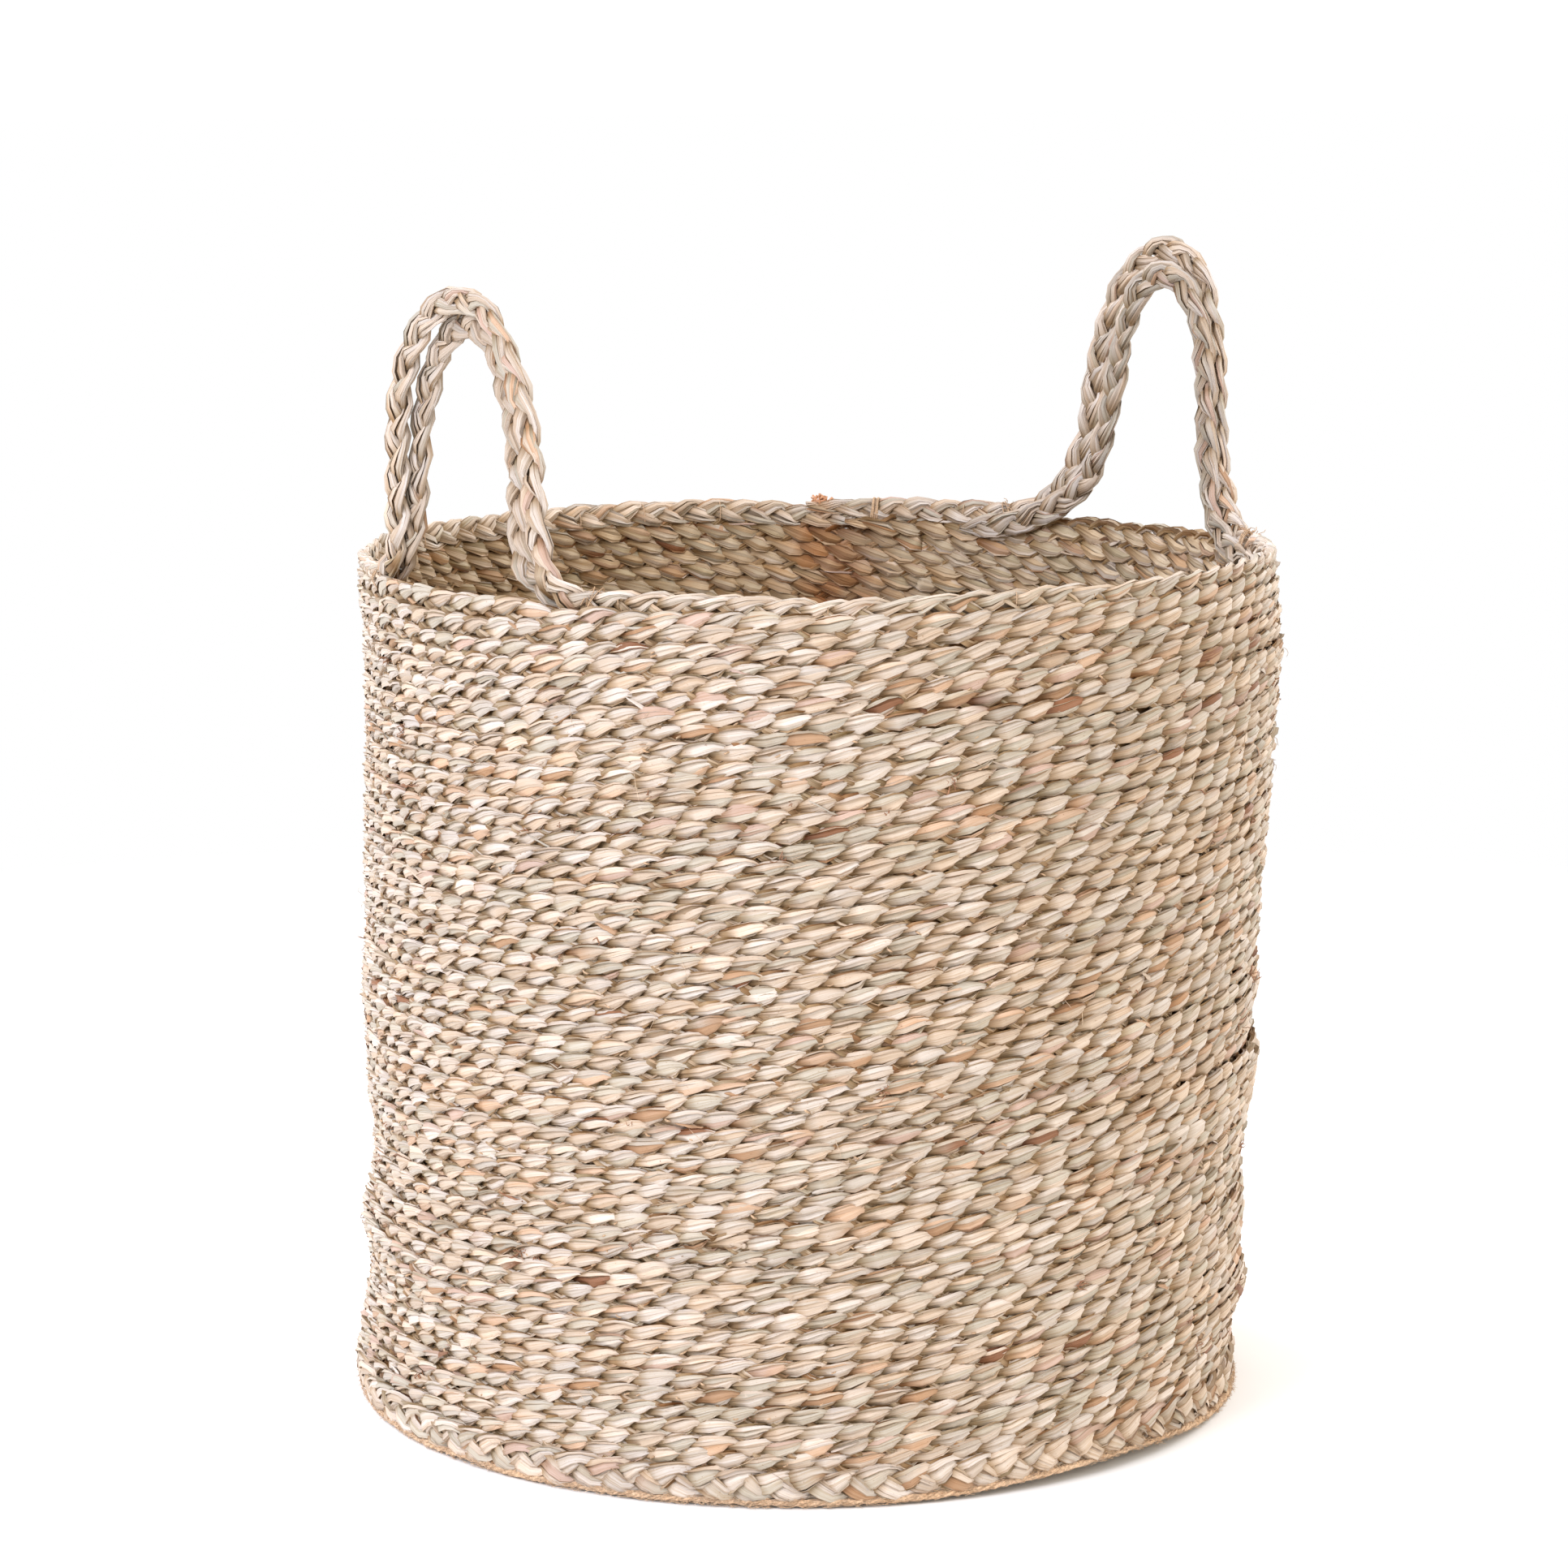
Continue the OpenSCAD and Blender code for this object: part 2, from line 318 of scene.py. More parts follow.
            # blades crowd towards the two faces of the strand
            alpha0 = alpha0 - 0.2 * math.sin(2 * alpha0)
            face = abs(math.sin(alpha0))
            q = noise(rng, s, 33, 4)
            alpha = alpha0 + turn + 0.3 * q[0] + rng.uniform(-0.15, 0.15)
            lift = (rng.uniform(-0.12, 0.3) + 0.12 * q[2]) * w_all
            ca, sa = np.cos(alpha)[:, None], np.sin(alpha)[:, None]
            p = cj + xj * ((w + lift)[:, None] * ca) + nj * ((h + lift)[:, None] * sa)
            tb = unit(-w[:, None] * sa * xj + h[:, None] * ca * nj)
            nb = unit(h[:, None] * ca * xj + w[:, None] * sa * nj)
            tip = (rng.normal(0.2, 0.1) + 0.16 * q[3])[:, None]
            tb, nb = tb * np.cos(tip) + nb * np.sin(tip), nb * np.cos(tip) - tb * np.sin(tip)
            size = bw * rng.uniform(0.82, 1.2) * (0.85 + 0.25 * face)
            half_w = (size * (0.45 + 0.55 * full) * (1 + 0.18 * q[1]) * w_all)[:, None]
            tk = thick * rng.uniform(0.7, 1.5) * w_all[:, None]
            crumple = noise(rng, s, 6.5, 3)[:, :, None] * 0.24
            left = p - tb * half_w - nb * (tk * 0.45) + nb * crumple[0]
            right = p + tb * half_w - nb * (tk * 0.45) + nb * crumple[1]
            ridge = p + nb * tk * 0.75 + tb * half_w * (0.5 * q[2][:, None]) + nb * crumple[2] * 0.7
            i0, f = idx[b], mixw[b][:, None]
            col = (PALETTE[pick[b][i0]] * shade[b][i0][:, None] * (1 - f)
                   + PALETTE[pick[b][i0 + 1]] * shade[b][i0 + 1][:, None] * f)
            # a stain given along the line (tone as an array) shows on the inner face, faintly on the outer
            here = tone if np.ndim(tone) == 0 else tone ** np.where(sa > 0, 0.3, 1.0)
            col = col * here * strand_tone[:, None] * (1 + 0.04 * q[1][:, None])
            # painted shade: darker where a strand dives under its neighbour, and darker still on the half that the next
            # course covers
            lost = np.clip(-x / half * sa[:, 0] * 1.6, 0, 1)
            cover_shade = np.where(sa[:, 0] > 0, covered_shade_out, covered_shade_in) * lost
            painted_shade = (1 - 0.5 * cross) * (1 - 0.74 * cover_shade)
            # the inner face is painted darker and warmer: partly painted shade inside the basket, partly the less
            # bleached blades there
            inner_shade_and_weathering = inside * np.clip(-sa[:, 0] * 1.6, 0, 1)
            col = col * (1 - inner_shade_and_weathering[:, None] * np.array([0.17, 0.25, 0.41]))
            col = np.clip(col * painted_shade[:, None] ** np.array([0.9, 1.25, 1.9]), 0, 1)
            out.append((np.concatenate([left, ridge, right, col, s[:, None]], 1), float(size),
                        seed0 + j * 7.3 + b * 1.7 + rng.uniform(0, 50), rng.random() < 0.7, at))
    return out


def pack(name, tracks, cuts, material, body="basket", nodes=()):
    """One object from the stretch cuts=(i0, i1) of every track."""
    bl = Blades()
    i0, i1 = cuts
    for data, w, seed, crease, at in tracks:
        k = np.concatenate([[i0], at[(at > i0 + 0.5) & (at < i1 - 0.5)], [i1]])
        f = k.astype(int)
        g = np.minimum(f + 1, len(data) - 1)
        v = data[f] * (1 - (k - f))[:, None] + data[g] * (k - f)[:, None]
        # nothing goes below the floor: blades flatten softly onto it
        v[:, 2:9:3] = np.where(v[:, 2:9:3] < 0.8, 0.8 * np.exp((np.minimum(v[:, 2:9:3], 0.8) - 0.8) / 0.8), v[:, 2:9:3])
        bl.add(v[:, 0:3], v[:, 3:6], v[:, 6:9], v[:, 9:12], v[:, 12], w, seed, crease)
    ob = bl.mesh(name, material)
    if nodes:
        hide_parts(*nodes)
    if body:
        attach(ob, body)
    return ob


# --------------------------------------------------------------- materials
def new_material(name):
    m = bpy.data.materials.new(name)
    m.use_nodes = True
    nt = m.node_tree
    nt.nodes.clear()
    out = nt.nodes.new("ShaderNodeOutputMaterial")
    bsdf = nt.nodes.new("ShaderNodeBsdfPrincipled")
    nt.links.new(bsdf.outputs[0], out.inputs[0])
    return m, nt, bsdf


def node(nt, kind, **kw):
    nd = nt.nodes.new("ShaderNode" + kind)
    for k, v in kw.items():
        setattr(nd, k, v)
    return nd


def math_node(nt, op, a, b=None, clamp=False):
    nd = node(nt, "Math", operation=op, use_clamp=clamp)
    for i, v in enumerate((a, b)):
        if v is None:
            continue
        if isinstance(v, (int, float)):
            nd.inputs[i].default_value = v
        else:
            nt.links.new(v, nd.inputs[i])
    return nd.outputs[0]


def map_range(nt, value, a, b, c, d):
    nd = node(nt, "MapRange")
    nt.links.new(value, nd.inputs["Value"])
    for k, v in (("From Min", a), ("From Max", b), ("To Min", c), ("To Max", d)):
        nd.inputs[k].default_value = v
    return nd.outputs["Result"]


def mix_colour(nt, fac, a, b, blend="MIX"):
    nd = node(nt, "Mix", data_type="RGBA", blend_type=blend)
    for sock, v in ((nd.inputs[0], fac), (nd.inputs[6], a), (nd.inputs[7], b)):
        if isinstance(v, (int, float)):
            sock.default_value = v
        elif isinstance(v, tuple):
            sock.default_value = v
        else:
            nt.links.new(v, sock)
    return nd.outputs[2]


def seagrass(name, tint=(1, 1, 1), rough=0.5, bump=0.6):
    m, nt, bsdf = new_material(name)
    tone = node(nt, "Attribute", attribute_name="Tone")
    fib = node(nt, "Attribute", attribute_name="Fibre")
    border = node(nt, "Attribute", attribute_name="Border")

    def streak(sx, sy, detail=2.0, rough_=0.55):
        mp = node(nt, "VectorMath", operation="MULTIPLY")
        nt.links.new(fib.outputs["Vector"], mp.inputs[0])
        mp.inputs[1].default_value = (sx, sy, 1.0)
        nz = node(nt, "TexNoise", noise_dimensions="3D")
        nz.inputs["Scale"].default_value = 1.0
        nz.inputs["Detail"].default_value = detail
        nz.inputs["Roughness"].default_value = rough_
        nt.links.new(mp.outputs[0], nz.inputs["Vector"])
        return nz.outputs["Fac"]

    fine = streak(0.07, 3.0, 3.0)      # fibres along the blade
    vein = streak(0.03, 1.15, 1.0)     # broader veins and folds
    patch = streak(0.05, 0.12, 2.0)    # weathering along the blade
    spot = streak(0.9, 1.6, 1.0)       # flecks
    base = mix_colour(nt, 1.0, tone.outputs["Color"], tint + (1.0,), "MULTIPLY")
    f1 = map_range(nt, fine, 0.38, 0.6, 0.5, 0.0)
    c1 = mix_colour(nt, f1, base, mix_colour(nt, 1.0, base, (0.76, 0.66, 0.53, 1.0), "MULTIPLY"))
    f2 = map_range(nt, vein, 0.54, 0.68, 0.0, 0.6)
    c2 = mix_colour(nt, f2, c1, mix_colour(nt, 1.0, c1, (0.78, 0.68, 0.55, 1.0), "MULTIPLY"))
    f3 = map_range(nt, patch, 0.56, 0.72, 0.0, 0.6)
    c3 = mix_colour(nt, f3, c2, mix_colour(nt, 1.0, c2, (0.96, 0.83, 0.68, 1.0), "MULTIPLY"))
    f4 = map_range(nt, spot, 0.70, 0.77, 0.0, 0.6)
    c4 = mix_colour(nt, f4, c3, mix_colour(nt, 1.0, c3, (0.58, 0.40, 0.27, 1.0), "MULTIPLY"))
    # blade borders painted darker and browner: painted shade along the lines where the blades meet
    f5 = map_range(nt, math_node(nt, "ABSOLUTE", border.outputs["Fac"]), 0.86, 1.0, 0.0, 0.75)
    c5 = mix_colour(nt, f5, c4, mix_colour(nt, 1.0, c4, (0.60, 0.45, 0.31, 1.0), "MULTIPLY"))
    nt.links.new(c5, bsdf.inputs["Base Color"])
    nt.links.new(map_range(nt, fine, 0.3, 0.7, rough + 0.12, rough - 0.08), bsdf.inputs["Roughness"])
    height = math_node(nt, "ADD", math_node(nt, "MULTIPLY", fine, 0.6), math_node(nt, "MULTIPLY", vein, -0.9))
    bp = node(nt, "Bump")
    bp.inputs["Strength"].default_value = bump
    bp.inputs["Distance"].default_value = 0.0006
    nt.links.new(height, bp.inputs["Height"])
    nt.links.new(bp.outputs[0], bsdf.inputs["Normal"])
    bsdf.inputs["Specular IOR Level"].default_value = 0.4
    return m


def jute(name, colour, bump=0.7):
    m, nt, bsdf = new_material(name)
    tc = node(nt, "TexCoord")
    nz = node(nt, "TexNoise")
    nz.inputs["Scale"].default_value = 900.0
    nz.inputs["Detail"].default_value = 4.0
    nt.links.new(tc.outputs["Object"], nz.inputs["Vector"])
    big = node(nt, "TexNoise")
    big.inputs["Scale"].default_value = 60.0
    big.inputs["Detail"].default_value = 2.0
    nt.links.new(tc.outputs["Object"], big.inputs["Vector"])
    a = tuple(colour * 0.72) + (1.0,)
    b = tuple(np.clip(colour * 1.18, 0, 1)) + (1.0,)
    c = mix_colour(nt, map_range(nt, nz.outputs["Fac"], 0.35, 0.65, 0, 1), a, b)
    c = mix_colour(nt, map_range(nt, big.outputs["Fac"], 0.45, 0.7, 0, 0.5), c,
                   mix_colour(nt, 1.0, c, (0.85, 0.74, 0.6, 1.0), "MULTIPLY"))
    nt.links.new(c, bsdf.inputs["Base Color"])
    nt.links.new(map_range(nt, nz.outputs["Fac"], 0.3, 0.7, 0.95, 0.75), bsdf.inputs["Roughness"])
    bp = node(nt, "Bump")
    bp.inputs["Strength"].default_value = bump
    bp.inputs["Distance"].default_value = 0.0004
    nt.links.new(nz.outputs["Fac"], bp.inputs["Height"])
    nt.links.new(bp.outputs[0], bsdf.inputs["Normal"])
    bsdf.inputs["Sheen Weight"].default_value = 0.15
    bsdf.inputs["Specular IOR Level"].default_value = 0.2
    return m


MAT_WALL = seagrass("seagrass_wall")
MAT_RIM = seagrass("seagrass_rim")
MAT_HANDLE = seagrass("seagrass_handle", tint=(0.93, 0.925, 0.92), rough=0.47)
MAT_BASE = seagrass("seagrass_base", tint=(0.9, 0.86, 0.8), rough=0.6)
MAT_CORD = jute("jute_cord", lin(228, 194, 160) * 0.86)
MAT_THREAD = jute("jute_thread", lin(214, 180, 146) * 0.8)
MAT_TUFT = jute("splice_ends", lin(178, 128, 96) * 0.75, bump=0.4)
MAT_WISP = jute("loose_fibres", lin(228, 200, 170) * 0.8, bump=0.2)


# ------------------------------------------------------- the long wall braid
def course_points(k, ds, a0=0.0, a1=2 * math.pi):
    """Centre line and face normal of course k, from STEP0+a0 to STEP0+a1."""
    n = int(round(wall_mid(zc(k)) * (a1 - a0) / ds))
    u = a0 + (a1 - a0) * np.arange(n) / n
    frac = u / (2 * math.pi)
    climb = 0 if k == 1 else PITCH * (1 - smooth(frac / STEPW))
    z = zc(k) - climb - (3.0 if k == 1 else 0)
    th = STEP0 + u
    # between the feet of a handle the last courses swell up to fill the rim
    gap_l = smooth((0.34 - np.abs(th - math.pi)) / 0.1)
    gap_r = smooth((0.40 - np.abs(th - 2 * math.pi + 0.03)) / 0.12)
    z = z + {55: 5.0, 54: 2.6, 53: 1.1}.get(k, 0) * gap_l + {55: 3.4, 54: 1.8, 53: 0.7}.get(k, 0) * gap_r
    r = wall_mid(z) + (1.5 if k == 1 else 0)
    c = np.stack([r * np.cos(th), r * np.sin(th), z + 0 * th], 1)
    tilt = TILT * (0.35 if k == 1 else 1.0)
    nrm = np.stack([np.cos(th) * math.cos(tilt), np.sin(th) * math.cos(tilt), -math.sin(tilt) + 0 * th], 1)
    return c, nrm


def curve(points, ds):
    """A smooth line through given points, resampled every ds."""
    p = np.array(points, float)
    ext = np.concatenate([[2 * p[0] - p[1]], p, [2 * p[-1] - p[-2]]])
    out = []
    for i in range(1, len(ext) - 2):
        p0, p1, p2, p3 = ext[i - 1:i + 3]
        for t in np.arange(0, 1, 0.05):
            out.append(0.5 * ((2 * p1) + (p2 - p0) * t + (2 * p0 - 5 * p1 + 4 * p2 - p3) * t * t
                              + (3 * p1 - p0 - 3 * p2 + p3) * t ** 3))
    out.append(ext[-2])
    out = np.array(out)
    for _ in range(3):
        out[1:-1] = 0.25 * out[:-2] + 0.5 * out[1:-1] + 0.25 * out[2:]
    s = np.concatenate([[0], np.cumsum(np.linalg.norm(np.diff(out, axis=0), axis=1))])
    k = max(2, int(round(s[-1] / ds)))
    q = np.linspace(0, s[-1], k + 1)
    return np.stack([np.interp(q, s, out[:, i]) for i in range(3)], 1)


ZR = zc(ROWS)                      # middle of the rim course
FOOT = {("left", "far"): 76, ("left", "near"): 90, ("right", "near"): 106, ("right", "far"): 90}
FLARE = {k: math.asin(v / wall_mid(H)) for k, v in FOOT.items()}


def on_rim(y, side, z, dr=0.0):
    r = wall_mid(H) + dr
    return (side * math.sqrt(r * r - y * y), y, z)


def handle_points(side):
    """The outer loop, from the foot the braid comes from to the foot it leaves by."""
    x = side * (HINGE_X + 1.5)
    if side < 0:
        return [on_rim(76, side, ZR), on_rim(70, side, ZR + 1), on_rim(62, side, ZR + 4.5), on_rim(55.5, side, 421),
                on_rim(51.5, side, 432), (x, 50, 446), (x, 49.8, 468), (x, 49.5, 489), (x, 44.5, 512),
                (x, 34, 529), (x, 20, 541), (x, 3, 546), (x, -17, 543), (x, -30.5, 531), (x, -41, 516),
                (x, -50.5, 496), (x, -56, 474), (x, -58, 460), (x + 1, -58.5, 448), on_rim(-59, side, 437),
                on_rim(-61, side, 427), on_rim(-68, side, 418), on_rim(-75, side, ZR + 3), on_rim(-83, side, ZR + 0.6),
                on_rim(-90, side, ZR)]
    return [on_rim(-106, side, ZR), on_rim(-99, side, ZR + 1), on_rim(-90, side, ZR + 4), on_rim(-81, side, 419),
            on_rim(-72, side, 426), on_rim(-64, side, 435), (x - 2, -57, 446), (x, -53.5, 460), (x, -51.5, 478),
            (x, -50, 498), (x, -46, 519), (x, -39, 539), (x, -30, 549), (x, -13, 555), (x, 4, 551.5), (x, 19, 540),
            (x, 31, 516), (x, 37.5, 493), (x, 40.5, 470), (x, 43, 455), (x - 1, 47, 445), on_rim(55, side, 431),
            on_rim(60, side, 425), on_rim(67, side, 418.5), on_rim(75, side, ZR + 3.5), on_rim(83, side, ZR + 0.8),
            on_rim(90, side, ZR)]


def radial(c, tilt):
    """Face normals: outward on the rim, then square to the handle's plane above it."""
    th = np.arctan2(c[:, 1], c[:, 0])
    rim = np.stack([np.cos(th) * math.cos(tilt), np.sin(th) * math.cos(tilt), -math.sin(tilt) + 0 * th], 1)
    flat = np.stack([np.sign(c[:, 0]), 0 * th, 0 * th], 1)
    w = smooth((c[:, 2] - ZR - 2) / 42)[:, None]
    return unit(rim * (1 - w) + flat * w)


rng = np.random.default_rng(4107)
DS = PERIOD / 24


class Line:
    """Stretches of centre line joined end to end, with the index range of each."""

    def __init__(self):
        self.c, self.n, self.marks, self.count = [], [], {}, 0

    def put(self, name, c, n):
        self.marks[name] = (self.count, self.count + len(c))
        self.c.append(c)
        self.n.append(n)
        self.count += len(c)

    def close(self):
        """Join up, wander a little up and down and in and out, and take the basket's form."""
        c, n = np.concatenate(self.c), np.concatenate(self.n)
        s = np.concatenate([[0], np.cumsum(np.linalg.norm(np.diff(c, axis=0), axis=1))])
        c[:, 2] += 0.6 * noise(rng, s, 50, 1)[0] + 0.4 * noise(rng, s, 210, 1)[0]
        c += unit(c * np.array([1, 1, 0])) * (0.6 * noise(rng, s, 90, 1)[0])[:, None]
        return deform(c), n


wall = Line()
for k in range(1, ROWS):
    wall.put(k, *course_points(k, DS))
# the helix ends by tucking in behind the rim course
c, n = course_points(ROWS, DS, 0.0, 0.2)
q = np.arange(len(c)) / len(c)
c -= unit(c * np.array([1, 1, 0])) * (6.5 * smooth(q))[:, None]
wall.put("tuck", c, n)
C, N = wall.close()
wid = 1 + 0.22 * smooth((wall.marks[2][0] + 30 - np.arange(len(C))) / 60)
i0, i1 = wall.marks["tuck"]
wid[i0:i1] = 1 - 0.75 * smooth((np.arange(i1 - i0) / (i1 - i0) - 0.3) / 0.7)
order = np.arange(len(C))
gap55 = smooth((C[:, 2] - H + 4.5) / 3)
covered = smooth((order - wall.marks[2][0]) / 60) * (1 - gap55)
# a browned streak on the far side: it starts in the rim and spreads downwards
turned = np.degrees(np.arctan2(C[:, 1], C[:, 0]))
deep = np.clip((H - C[:, 2]) / 60, 0, 1)
stain = np.exp(-((turned - 49.2 + 3.5 * deep) / (3.2 + 3.8 * deep)) ** 2) * smooth((C[:, 2] - H + 74) / 24)
stain = np.clip(1.5 * stain * (0.62 + 0.5 * noise(rng, order * DS, 7, 1)[0]), 0, 1)
# the wall blades get painted shade where the next course covers them
tracks = braid(rng, C, N, width=wid, tone=1 - stain[:, None] * np.array([0.3, 0.56, 0.74]), covered_shade_out=(order >= wall.marks[2][0]) * 1.0,
               covered_shade_in=1.0 - gap55, one_sided=covered, inside=1.0)

rim = Line()
c, n = course_points(ROWS, DS, 0.02, math.pi - FLARE["left", "far"] - STEP0)
c[:, 2] = np.maximum(c[:, 2], ZR - 3.5)
rim.put("back", c, n)
c = curve(handle_points(-1), DS)[:-1]
rim.put("left", c, radial(c, TILT))
c, n = course_points(ROWS, DS, math.pi + FLARE["left", "near"] - STEP0, 2 * math.pi - FLARE["right", "near"] - STEP0)
rim.put("front", c, n)
c = curve(handle_points(1), DS)[:-1]
rim.put("right", c, radial(c, TILT))
c, n = course_points(ROWS, DS, 2 * math.pi + FLARE["right", "far"] - STEP0, 2 * math.pi + math.radians(17))
c[:, 2] += 1.6 * smooth((np.arange(len(c)) - len(c) * 0.35) / (len(c) * 0.5))
rim.put("tail", c, n)
C, N = rim.close()
wid = 1 + 0.14 * smooth((C[:, 2] - H - 2) / 24) - 0.18 * smooth((C[:, 2] - H - 88) / 34)
stride = 1 + 0.13 * smooth((C[:, 2] - H - 2) / 24)
i0, i1 = rim.marks["tail"]
wid[i0:i1] *= 1 - 0.6 * smooth((np.arange(i1 - i0) - (i1 - i0) * 0.55) / ((i1 - i0) * 0.45))
i0, i1 = rim.marks["back"]
wid[i0:i1] *= 0.45 + 0.55 * smooth(np.arange(i1 - i0) / 40)
high = smooth((C[:, 2] - H - 2) / 10)
turned = np.degrees(np.arctan2(C[:, 1], C[:, 0]))
stain = np.exp(-((turned - 48.8) / 1.7) ** 2) * smooth((H + 12 - C[:, 2]) / 4)
RIM_C, RIM_N, RIM_T = C, N, turned
# the rim blades get painted shade on their covered half below the handles
rim_tracks = braid(rng, C, N, width=wid, pace=stride, tone=1 - stain[:, None] * np.array([0.12, 0.3, 0.46]), half=4.5, depth=2.0, roll=0.2, pinch=0.6, blades=8, bw=1.42, thick=0.68, covered_shade_out=1 - high, seed0=900)

LENGTHS = [7, 6, 7, 6, 7, 7, 6, 7]
marks = wall.marks
pack("bottom_edge_course", tracks, (marks[1][0], marks[1][1]), MAT_WALL, nodes=["bottom_edge_braid"])
k = 2
for i, m in enumerate(LENGTHS):
    half_m = (m + 1) // 2
    for part, (a, b) in enumerate(((k, k + half_m - 1), (k + half_m, k + m - 1))):
        pack(f"wall_length_{i + 1}{'ab'[part]}", tracks, (marks[a][0], marks[b][1]), MAT_WALL,
             nodes=[f"wall_braid_{i + 1}"])
    k += m
pack("under_rim_course", tracks, (marks[55][0], marks["tuck"][1] - 1), MAT_WALL, nodes=["under_rim_braid"])
marks = rim.marks
pack("rim_course_back", rim_tracks, marks["back"], MAT_RIM, nodes=["rim_braid_back"])
pack("rim_course_front", rim_tracks, marks["front"], MAT_RIM, nodes=["rim_braid_front"])
pack("rim_course_end", rim_tracks, (marks["tail"][0], marks["tail"][1] - 1), MAT_RIM, nodes=["rim_braid_back"])
HANDLES = {}
for side in ("left", "right"):
    HANDLES[side] = pack(f"handle_{side}_outer_loop", rim_tracks, marks[side], MAT_HANDLE,
                         body=None, nodes=[f"handle_{side}_outer_braid"])

# ---------------------------------------------------------- inner handle loops
def inner_points(side):
    x = side * (HINGE_X - 4.6)
    if side < 0:
        foot = [(104, ZR - 7.5, -3.5), (90, ZR - 6.5, -5), (76, ZR - 3, -5.5), (63, ZR + 3, -5.5), (53, ZR + 12, -5)]
        leg = [(x, 45, 437), (x, 42.5, 450), (x, 41, 468), (x, 38.5, 489), (x, 31.5, 511), (x, 20, 528), (x, 4, 536),
               (x, -10, 533), (x, -22, 520), (x, -31.5, 500), (x, -36.5, 477), (x, -38.5, 459), (x, -40, 446)]
        last = [(112, ZR - 7.5, -3.5), (98, ZR - 6.5, -4.5), (84, ZR - 4, -5), (69, ZR + 1.5, -5.5), (54, ZR + 9, -6), (44, ZR + 20, -6)]
        a, b = 1, -1
    else:
        foot = [(118, ZR - 7.5, -3.5), (105, ZR - 6, -4.5), (92, ZR - 3, -5), (80, ZR + 2, -5.5), (69, ZR + 8, -5.5), (60, ZR + 17, -5)]
        leg = [(x, -56, 441), (x, -53, 454), (x, -51, 472), (x, -49, 496), (x, -44.5, 517), (x, -35, 534), (x, -19, 543),
               (x, -3, 539), (x, 6, 526), (x, 12.5, 508), (x, 17.5, 487), (x, 21.5, 468), (x, 26, 453)]
        last = [(110, ZR - 7.5, -3.5), (96, ZR - 6, -4.5), (80, ZR - 3, -5.5), (64, ZR + 3, -5.5), (49, ZR + 12, -5.5), (36, ZR + 24, -5.5)]
        a, b = -1, 1
    start = [on_rim(a * y, side, z, dr) for y, z, dr in foot]
    end = [on_rim(b * y, side, z, dr) for y, z, dr in reversed(last)]
    return start + leg + end


for side, sgn in (("left", -1), ("right", 1)):
    c = curve(inner_points(sgn), DS)
    n = radial(c, 0.1)
    wd = smooth(np.arange(len(c)) / 14 + 0.25)
    wd = np.minimum(wd, wd[::-1])
    c = deform(c)
    tr = braid(rng, c, n, width=wd * 1.08, tone=0.87, period=PERIOD * 1.08, half=4.3, depth=1.8, roll=0.2, pinch=0.6, blades=8, bw=1.42, thick=0.68, seed0=300)
    HANDLES[side + "_in"] = pack(f"handle_{side}_inner_loop", tr, (0, len(c) - 1), MAT_HANDLE,
                                 body=None, nodes=[f"handle_{side}_inner_braid"])

for side, sgn in (("left", -1), ("right", 1)):
    for key in (side, side + "_in"):
        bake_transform(HANDLES[key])

# ------------------------------------------------------------------ the base
turns = int((DISC_R - 6) / 7.2)
u = np.arange(0, turns * 2 * math.pi, 0.01)
r = DISC_R - 6.5 - 7.2 * u / (2 * math.pi)
keep = r > 5
u, r = u[keep], r[keep]
c = np.stack([r * np.cos(-u), r * np.sin(-u), 4.45 + 0 * u], 1)
s = np.concatenate([[0], np.cumsum(np.linalg.norm(np.diff(c, axis=0), axis=1))])
q = np.arange(0, s[-1], PERIOD / 20)
c = np.stack([np.interp(q, s, c[:, i]) for i in range(3)], 1)
th = np.arctan2(c[:, 1], c[:, 0])
bt = math.radians(9)
n = np.stack([np.cos(th) * math.sin(bt), np.sin(th) * math.sin(bt), math.cos(bt) + 0 * th], 1)
# the outer turns spread a little and follow the wall that is sewn to them
rr = np.hypot(c[:, 0], c[:, 1])
c[:, :2] *= (1 + 4.6 * smooth((rr - 150) / 60) / rr)[:, None]
c[:, 2] += 0.8 * smooth((rr - 185) / 20)
c = deform(c)
tr = braid(rng, c, n, half=3.4, depth=1.0, sw=3.7, sh=0.8, blades=5, bw=2.2, thick=0.35, tone=0.93, seed0=500)
thirds = [0, int(len(c) * 0.33), int(len(c) * 0.66), len(c) - 1]
for i, name in enumerate(("outer", "middle", "inner")):
    pack("base_coil_" + name, tr, (thirds[i], thirds[i + 1]), MAT_BASE, nodes=["base_coil_braid"])


